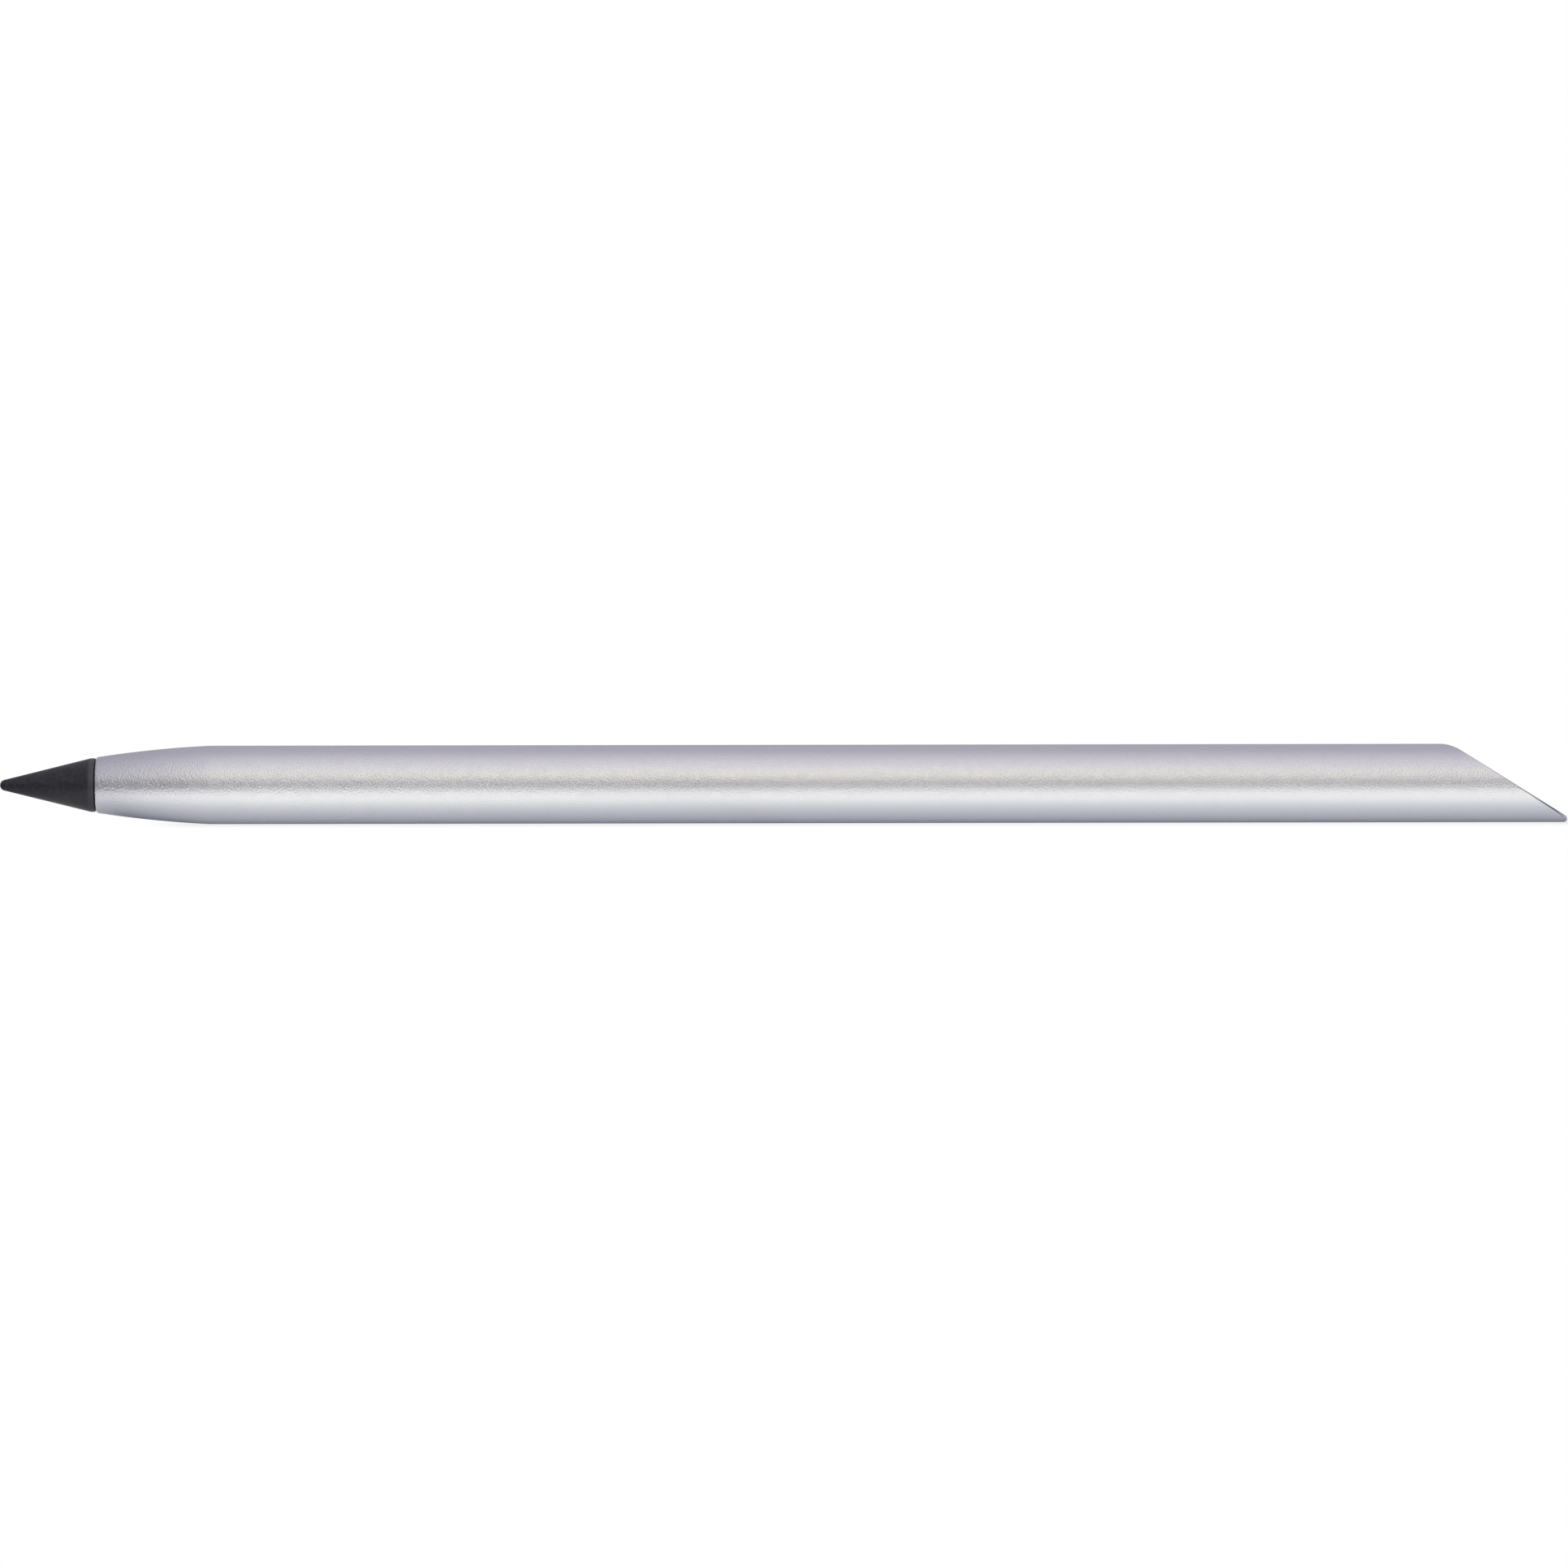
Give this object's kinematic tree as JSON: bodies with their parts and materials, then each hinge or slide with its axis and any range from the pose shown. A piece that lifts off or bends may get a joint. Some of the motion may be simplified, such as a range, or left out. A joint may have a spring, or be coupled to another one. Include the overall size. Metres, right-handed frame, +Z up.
{
  "type": "inkless pencil",
  "caption": "Slim inkless metal pencil: satin aluminium tube with a tapered nose, a slanted open rear end and a charcoal writing nib that screws out for replacement.",
  "frame": {"origin": "on the surface the pencil lies on, below the middle of its length", "axes": "+X along the pencil from the nib to the slanted rear end, +Z up, the slanted cut facing up and back"},
  "size_m": [0.156, 0.0078, 0.0078],
  "materials": {
    "satin_aluminium": "satin",
    "bush_brass": "satin",
    "stud_steel": "satin",
    "nib_graphite_alloy": "matte",
    "ring_rubber": "matte"
  },
  "bodies": {
    "barrel": {"barrel_tube": "satin_aluminium", "nose_bush": "bush_brass"},
    "ring": {"nib_ring": "ring_rubber"},
    "nib": {"nib_point": "nib_graphite_alloy", "nib_stud": "stud_steel"}
  },
  "joints": [
    {"name": "nib_travel", "type": "slide", "parent": "barrel", "child": "ring", "axis": [-1, 0, 0], "range_m": [0, 0.004]},
    {"name": "nib_turn", "type": "hinge", "parent": "ring", "child": "nib", "pos_m": [-0.078, 0, 0.0039], "axis": [-1, 0, 0], "range_deg": [0, 2880]}
  ],
  "couplings": [
    {"joint": "nib_turn", "follows": "nib_travel", "rad_per_m": 12566}
  ]
}
